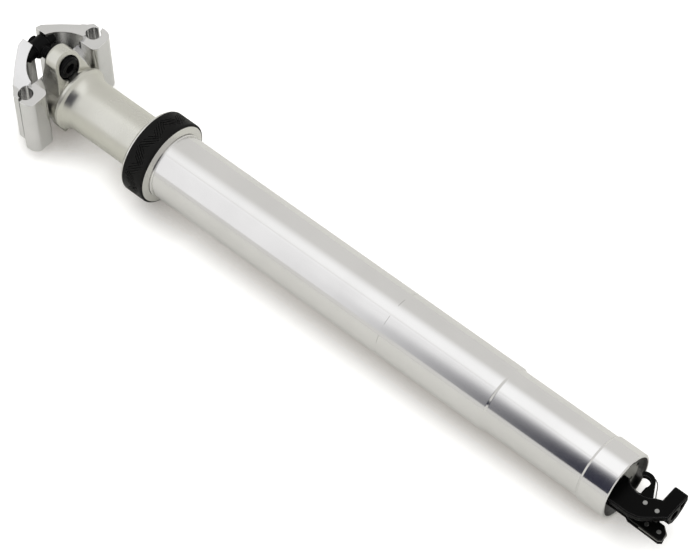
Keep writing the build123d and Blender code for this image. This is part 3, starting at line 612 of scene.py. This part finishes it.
# Cast aluminium bracket, blasted and black anodised: satin black with a grey painted
# highlight along its edges. The dyed layer hides the metal, so it has no metallic share,
# as on the other black pieces.
BLACK_BRACKET = Finish(
    name="aluminium_cast_black_anodised",
    colour="#080808",
    second="#050505",
    metallic=0.0,
    roughness=0.34,
    grain_mm=0.22,
    grain_depth_mm=0.004,
    edge_mm=0.25,
    # Grey painted highlight along the edges.
    edge_colour="#9a9a9c",
    edge_share=1.0,
    specular=0.05,
)
# Steel bolts and nuts in black oxide with a film of oil: dark, a little glossy.
BLACK_OXIDE = Finish(
    name="steel_black_oxide",
    colour="#0e0e0f",
    second="#09090a",
    metallic=0.0,
    roughness=0.32,
    specular=0.07,
    grain=Grain.TURNED,
    grain_mm=0.3,
    grain_depth_mm=0.001,
    edge_mm=0.2,
    edge_colour="#77777a",
    edge_share=0.5,
)
# Stamped steel plates, black coated: flat satin black, edges rubbed grey.
BLACK_PLATE = Finish(
    name="steel_stamped_black_coated",
    colour="#0d0d0d",
    second="#090909",
    metallic=0.0,
    roughness=0.4,
    specular=0.05,
    grain_mm=0.3,
    grain_depth_mm=0.003,
    edge_mm=0.2,
    edge_colour="#6c6c6c",
    edge_share=0.5,
)
# Steel pins, rivets and rod, ground bright: plain light grey.
BRIGHT_STEEL = Finish(
    name="steel_ground_bright",
    colour="#a0a09e",
    second="#949492",
    metallic=1.0,
    roughness=0.45,
    grain_mm=0.15,
    grain_depth_mm=0.0015,
    edge_mm=0.15,
)
# Spring wire, hard drawn: mid grey and shiny.
DRAWN_WIRE = Finish(
    name="steel_drawn_wire",
    colour="#7c7c7b",
    second="#6e6e6d",
    metallic=1.0,
    roughness=0.24,
    grain_mm=0.2,
    grain_depth_mm=0.001,
    edge_mm=0.05,
)
# Machined aluminium plate in grey anodising: matt with fine facing marks.
GREY_PLATE = Finish(
    name="aluminium_faced_grey_anodised",
    colour="#9a9995",
    second="#8b8a86",
    metallic=0.9,
    roughness=0.38,
    grain_mm=0.4,
    grain_depth_mm=0.003,
    edge_mm=0.2,
)
# The same plate where it closes the tube: grey in the middle, black sealed rim round it.
SEALED_PLATE = ZonedFinish(
    name="aluminium_faced_black_rim",
    colour="#83827e",
    second="#757470",
    metallic=0.9,
    roughness=0.38,
    grain_mm=0.4,
    grain_depth_mm=0.003,
    edge_mm=0.2,
    zone_x=0.003,
    zone_radii=(0.0077, 1.0),
    zone_top=-0.2499,
    zone_colour="#14130f",
)
# Moulded rubber band: deep black, matt, with the mould's fine grit; painted shade in its
# grooves and a grey painted highlight along the edges of its ridges.
MOULDED_RUBBER = GrooveShadedFinish(
    name="rubber_moulded_black",
    colour="#1c1c1c",
    second="#181818",
    metallic=0.0,
    roughness=0.4,
    roughness_drift=0.06,
    grain_mm=0.35,
    grain_depth_mm=0.003,
    edge_mm=0.12,
    # Grey painted highlight along the edges of the ridges.
    edge_colour="#7c7c7c",
    edge_share=1.0,
    specular=0.06,
    groove_mm=0.8,
    groove_open=(0.6, 0.97),
    # Colour of the painted shade in the grooves.
    groove_shade_colour="#020202",
)
# Nitrile seals with a film of grease: black and a little wet.
SEAL_RUBBER = Finish(
    name="nitrile_moulded_greased",
    colour="#1a1a1a",
    second="#131313",
    metallic=0.0,
    roughness=0.32,
    grain_mm=0.4,
    grain_depth_mm=0.002,
    coat=0.3,
)
# Filled polymer bushings, moulded: dull grey brown.
FILLED_POLYMER = Finish(
    name="acetal_filled_moulded",
    colour="#4b4842",
    second="#403e39",
    metallic=0.0,
    roughness=0.5,
    grain_mm=0.4,
    grain_depth_mm=0.004,
)
# Brass keys, sawn from drawn bar: warm yellow with lengthwise marks.
SAWN_BRASS = Finish(
    name="brass_drawn_bar",
    colour="#c9a45c",
    second="#b8944e",
    metallic=1.0,
    roughness=0.32,
    grain=Grain.DRAWN,
    grain_mm=0.3,
    grain_depth_mm=0.002,
)
# Open foam ring soaked in oil: dark, rough, with visible cells.
OILED_FOAM = Finish(
    name="polyurethane_foam_oiled",
    colour="#3b3a37",
    second="#2a2927",
    metallic=0.0,
    roughness=0.7,
    grain_mm=0.7,
    grain_depth_mm=0.12,
    blotch_mm=4.0,
)
# Nylon spacer, moulded in grey: waxy and matt.
GREY_NYLON = Finish(
    name="nylon_moulded_grey",
    colour="#8d8c88",
    second="#7f7e7a",
    metallic=0.0,
    roughness=0.5,
    grain_mm=0.4,
    grain_depth_mm=0.004,
)


class Dresser:
    """Gives nodes their finishes and keeps each material once."""

    def __init__(self, nodes: dict[str, bpy.types.Object]) -> None:
        """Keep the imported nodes.

        Args:
            nodes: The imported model's objects by node name.
        """
        self.nodes = nodes
        self.made: dict[str, bpy.types.Material] = {}

    def dress(self, finish: Finish, *names: str) -> None:
        """Give one finish to nodes.

        Args:
            finish: Finish to use.
            names: Names of the nodes.
        """
        if finish.name not in self.made:
            self.made[finish.name] = finish.build()
        for name in names:
            mesh = self.nodes[name].data
            mesh.materials.clear()
            mesh.materials.append(self.made[finish.name])
            LOG.info("%s: %s", name, finish.name)


@dataclass
class Tube:
    """Lower tube, bottom cap, base plate and what guides the stanchion in them."""

    dresser: Dresser

    def build(self) -> None:
        """Dress the tube's pieces."""
        self.dresser.dress(POLISHED_TUBE, "outer_tube")
        self.dresser.dress(SHADE_PAINTED_CAP, "bottom_cap")
        self.dresser.dress(SEALED_PLATE, "base_plate")
        self.dresser.dress(FILLED_POLYMER, "upper_bushing")


@dataclass
class Collar:
    """Collar on the tube's top end with its rubber band, wiper and oil ring."""

    dresser: Dresser

    def build(self) -> None:
        """Dress the collar's pieces."""
        self.dresser.dress(TURNED_COLLAR, "collar")
        self.dresser.dress(MOULDED_RUBBER, "collar_band")
        self.dresser.dress(SEAL_RUBBER, "wiper_seal")
        self.dresser.dress(OILED_FOAM, "foam_ring")


@dataclass
class Stanchion:
    """Sliding stanchion with its forged head, bolts, keys and cartridge."""

    dresser: Dresser

    def build(self) -> None:
        """Dress the stanchion's pieces."""
        self.dresser.dress(CHAMPAGNE_HEAD, "stanchion_head")
        self.dresser.dress(BLACK_OXIDE, "clamp_bolts")
        self.dresser.dress(FILLED_POLYMER, "lower_bushing")
        self.dresser.dress(SAWN_BRASS, "anti_rotation_keys")
        self.dresser.dress(GREY_PLATE, "cartridge_body", "cartridge_seal_head")
        self.dresser.dress(GREY_PLATE, "cartridge_top_plug", "rod_piston")
        self.dresser.dress(BRIGHT_STEEL, "cartridge_clip", "cartridge_rod")
        self.dresser.dress(SEAL_RUBBER, "piston_seal")


@dataclass
class SaddleClamp:
    """Rail cradle, upper clamps and barrel nuts."""

    dresser: Dresser

    def build(self) -> None:
        """Dress the clamp's pieces."""
        self.dresser.dress(
            TUMBLED_CLAMP, "lower_cradle", "upper_clamp_left", "upper_clamp_right"
        )
        self.dresser.dress(BLACK_OXIDE, "barrel_nut_front", "barrel_nut_rear")


@dataclass
class Actuator:
    """Bracket, plates, lever, spring and release pin at the lower end."""

    dresser: Dresser

    def build(self) -> None:
        """Dress the actuator's pieces."""
        self.dresser.dress(BLACK_BRACKET, "actuator_bracket", "release_lever")
        self.dresser.dress(BLACK_PLATE, "side_plate_inner", "side_plate_outer")
        self.dresser.dress(GREY_NYLON, "plate_spacer")
        self.dresser.dress(BRIGHT_STEEL, "bracket_pins", "plate_rivets", "release_pin")
        self.dresser.dress(DRAWN_WIRE, "return_spring")


@dataclass
class Studio:
    """Pale surface, soft light, graded card and world round the post.

    Attributes:
        surface_low: Y and Z of the surface beside the tube's lower end.
        surface_high: Y and Z of the surface beside the clamp.
        surface_half: Half the width of the surface.
        surface_colour: Colour in which the surface lights the post, as sRGB hex.
        surface_glow: Radiance that the camera sees on top of the surface's own light.
        shadow_reach: How far from the post its shadow darkens the surface.
        shadow_open: Openness of the surface between which the shadow fades.
        shadow_colour: Colour of the deepest shadow, as sRGB hex.
        surround: Radiance of the world on the object.
        surround_colour: Colour of that light, as sRGB hex.
        softbox_radiance: Radiance of the softbox over the tube and past the clamp.
        softbox_colour: Colour of its light, as sRGB hex.
        softbox_z: Z between which that radiance changes.
        softbox_slant: How far its right edge leans to -X along Z.
        softbox_left: X between which its left edge fades in.
        softbox_right: X between which its right edge fades out, at Z = 0.
        softbox_half: Half the width of its sheet along X.
        softbox_y: Y of its sheet.
        softbox_ends: Z of its sheet's ends.
        card_x: Place of the graded card along X.
        card_y: Y of the card's upper and lower edges.
        card_z: Z of the card's ends.
        card_slant: How far the card's fade leans along Y.
        card_fade: Where the fade starts and ends along the card.
        card_dark: Colour of the card's dark end, as sRGB hex.
        card_bright: Radiance of the card's bright end.
    """

    surface_low: tuple[float, float] = (0.0163, -0.252)
    surface_high: tuple[float, float] = (0.0252, 0.086)
    surface_half: float = 3.0
    surface_colour: str = "#fbfbf7"
    surface_glow: float = 0.52
    shadow_reach: float = 0.022
    shadow_open: tuple[float, float] = (0.2, 0.85)
    shadow_colour: str = "#a6a29d"
    surround: float = 0.78
    surround_colour: str = "#fffefa"
    softbox_radiance: tuple[float, float] = (0.48, 0.37)
    softbox_colour: str = "#f6f9ff"
    softbox_z: tuple[float, float] = (0.05, 0.45)
    softbox_slant: float = 0.8
    softbox_left: tuple[float, float] = (-0.4, -0.12)
    softbox_right: tuple[float, float] = (0.3, 1.0)
    softbox_half: float = 1.1
    softbox_y: float = -1.0
    softbox_ends: tuple[float, float] = (-0.3, 1.2)
    card_x: float = -0.9
    card_y: tuple[float, float] = (-3.2, -0.2)
    card_z: tuple[float, float] = (-1.3, 2.2)
    card_slant: float = 0.115
    card_fade: tuple[float, float] = (0.0, 0.3)
    card_dark: str = "#292a3b"
    card_bright: float = 1.06

    def build(self) -> None:
        """Build the surface, the card, the light and the world."""
        self.build_surface()
        self.build_card()
        self.build_softbox()
        self.build_world()

    def sheet(
        self,
        name: str,
        corners: list[tuple[float, float, float]],
        material: bpy.types.Material,
    ) -> bpy.types.Object:
        """Make one flat sheet of the studio.

        Args:
            name: Name of the sheet.
            corners: Its corners in order.
            material: Its material.

        Returns:
            The sheet.
        """
        mesh = bpy.data.meshes.new(name)
        mesh.from_pydata(corners, [], [tuple(range(len(corners)))])
        mesh.materials.append(material)
        sheet = bpy.data.objects.new(name, mesh)
        bpy.context.scene.collection.objects.link(sheet)
        return sheet

    def build_surface(self) -> None:
        """Build the pale surface; it is clear from behind, so the back can be seen."""
        low_y, low_z = self.surface_low
        high_y, high_z = self.surface_high
        slope = (high_y - low_y) / (high_z - low_z)
        half = self.surface_half
        far_low = low_y - slope * (low_z + half)
        far_high = low_y + slope * (half - low_z)
        corners = [
            (-half, far_low, -half),
            (half, far_low, -half),
            (half, far_high, half),
            (-half, far_high, half),
        ]
        material = new_material("paper_white_matt")
        tree = material.node_tree
        paths = add_node(tree, "ShaderNodeLightPath").outputs
        paper = add_node(
            tree, "ShaderNodeBsdfDiffuse", {"Color": linear(self.surface_colour)}
        ).outputs[0]
        open_sky = openness(tree, self.shadow_reach)
        shade = remap(tree, open_sky, self.shadow_open, soft=True)
        tint = blend(tree, shade, self.shadow_colour, WHITE)
        shown = add_node(tree, "ShaderNodeBsdfDiffuse", {}, {"Color": tint}).outputs[0]
        glow = add_node(
            tree, "ShaderNodeEmission", {"Strength": self.surface_glow}, {"Color": tint}
        ).outputs[0]
        lit = add_node(tree, "ShaderNodeAddShader", {}, {0: shown, 1: glow}).outputs[0]
        seen = add_node(
            tree, "ShaderNodeMixShader", {}, {0: paths["Is Camera Ray"], 1: paper, 2: lit}
        ).outputs[0]
        clear = add_node(tree, "ShaderNodeBsdfTransparent").outputs[0]
        back = add_node(tree, "ShaderNodeNewGeometry").outputs["Backfacing"]
        both = add_node(
            tree, "ShaderNodeMixShader", {}, {0: back, 1: seen, 2: clear}
        ).outputs[0]
        add_node(tree, "ShaderNodeOutputMaterial", {}, {"Surface": both})
        self.sheet("surface", corners, material)

    def build_card(self) -> None:
        """Build the tall card beside the post; it fades from dark to bright along Z."""
        material = new_material("card_graded")
        tree = material.node_tree
        place = add_node(tree, "ShaderNodeTexCoord").outputs["Object"]
        along = place_along(tree, place, (0.0, self.card_slant, 1.0))
        bright = (self.card_bright, self.card_bright, self.card_bright, 1.0)
        colour = add_node(
            tree,
            "ShaderNodeMix",
            {MIX_FIRST: linear(self.card_dark), MIX_SECOND: bright},
            {MIX_SHARE: remap(tree, along, self.card_fade, soft=True)},
            data_type="RGBA",
        ).outputs[MIX_RESULT]
        glow = add_node(
            tree, "ShaderNodeEmission", {"Strength": 1.0}, {"Color": colour}
        ).outputs[0]
        add_node(tree, "ShaderNodeOutputMaterial", {}, {"Surface": glow})
        (low_y, high_y), (low_z, high_z) = self.card_y, self.card_z
        corners = [
            (self.card_x, high_y, low_z),
            (self.card_x, low_y, low_z),
            (self.card_x, low_y, high_z),
            (self.card_x, high_y, high_z),
        ]
        card = self.sheet("graded_card", corners, material)
        card.visible_camera = False
        card.visible_diffuse = False
        card.visible_shadow = False

    def build_softbox(self) -> None:
        """Build the soft light over the post; its edges fade and the right one leans."""
        material = new_material("softbox_graded")
        tree = material.node_tree
        place = add_node(tree, "ShaderNodeTexCoord").outputs["Object"]
        across = place_along(tree, place, (1.0, 0.0, self.softbox_slant))
        parts = add_node(tree, "ShaderNodeSeparateXYZ", {}, {0: place}).outputs
        left = remap(tree, parts["X"], self.softbox_left, soft=True)
        right = remap(tree, across, self.softbox_right, (1.0, 0.0), soft=True)
        ends = remap(tree, parts["Z"], self.softbox_z, self.softbox_radiance, soft=True)
        strength = product(tree, product(tree, left, right), ends)
        glow = add_node(
            tree,
            "ShaderNodeEmission",
            {"Color": linear(self.softbox_colour)},
            {"Strength": strength},
        ).outputs[0]
        clear = add_node(tree, "ShaderNodeBsdfTransparent").outputs[0]
        both = add_node(tree, "ShaderNodeAddShader", {}, {0: clear, 1: glow}).outputs[0]
        add_node(tree, "ShaderNodeOutputMaterial", {}, {"Surface": both})
        half, y, (low, high) = self.softbox_half, self.softbox_y, self.softbox_ends
        corners = [(-half, y, low), (half, y, low), (half, y, high), (-half, y, high)]
        softbox = self.sheet("softbox", corners, material)
        softbox.visible_camera = False
        softbox.visible_shadow = False

    def build_world(self) -> None:
        """Build a white background that lights the object at a plain level."""
        world = bpy.data.worlds.new("studio")
        bpy.context.scene.world = world
        world.use_nodes = True
        tree = world.node_tree
        tree.nodes.clear()
        seen = add_node(tree, "ShaderNodeLightPath").outputs["Is Camera Ray"]
        room = add_node(
            tree,
            "ShaderNodeBackground",
            {"Color": linear(self.surround_colour), "Strength": self.surround},
        ).outputs[0]
        white = add_node(
            tree, "ShaderNodeBackground", {"Color": linear(WHITE), "Strength": 1.0}
        ).outputs[0]
        both = add_node(
            tree, "ShaderNodeMixShader", {}, {0: seen, 1: room, 2: white}
        ).outputs[0]
        add_node(tree, "ShaderNodeOutputWorld", {}, {"Surface": both})


@dataclass(frozen=True)
class PhotoCamera:
    """The camera at the photograph's place.

    Attributes:
        place: Position of the camera.
        right: Direction of the picture's right.
        up: Direction of the picture's top.
        forward: Direction in which the camera looks.
        focal_px: Focal length in pixels of the picture.
        centre_px: Pixel that the camera looks straight at.
    """

    place: tuple[float, float, float] = (-0.56715, -1.15805, -0.6117)
    right: tuple[float, float, float] = (0.65859, 0.02791, -0.75198)
    up: tuple[float, float, float] = (0.63309, -0.56073, 0.53365)
    forward: tuple[float, float, float] = (0.40676, 0.82753, 0.38696)
    focal_px: float = 3221.9
    centre_px: tuple[float, float] = (297.5, 247.9)

    def build(self) -> None:
        """Build the camera and make it the scene's camera."""
        camera = bpy.data.cameras.new("photo_camera")
        camera.sensor_width = SENSOR_WIDTH
        camera.lens = self.focal_px / IMAGE_WIDTH * camera.sensor_width
        camera.shift_x = (IMAGE_WIDTH / 2 - self.centre_px[0]) / IMAGE_WIDTH
        camera.shift_y = (self.centre_px[1] - IMAGE_HEIGHT / 2) / IMAGE_WIDTH
        camera.clip_end = CLIP_END
        holder = bpy.data.objects.new("photo_camera", camera)
        axes = Matrix((self.right, self.up, -Vector(self.forward))).transposed()
        holder.matrix_world = Matrix.Translation(self.place) @ axes.to_4x4()
        bpy.context.scene.collection.objects.link(holder)
        bpy.context.scene.camera = holder


def main() -> None:
    """Load the frame, dress every piece and set the studio up."""
    logging.basicConfig(level=logging.INFO)
    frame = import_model()
    bpy.context.scene.view_settings.view_transform = "Standard"
    dresser = Dresser(frame["nodes"])
    for assembly in (Tube, Collar, Stanchion, SaddleClamp, Actuator):
        assembly(dresser).build()
    Studio().build()
    PhotoCamera().build()


if __name__ == "__main__":
    main()
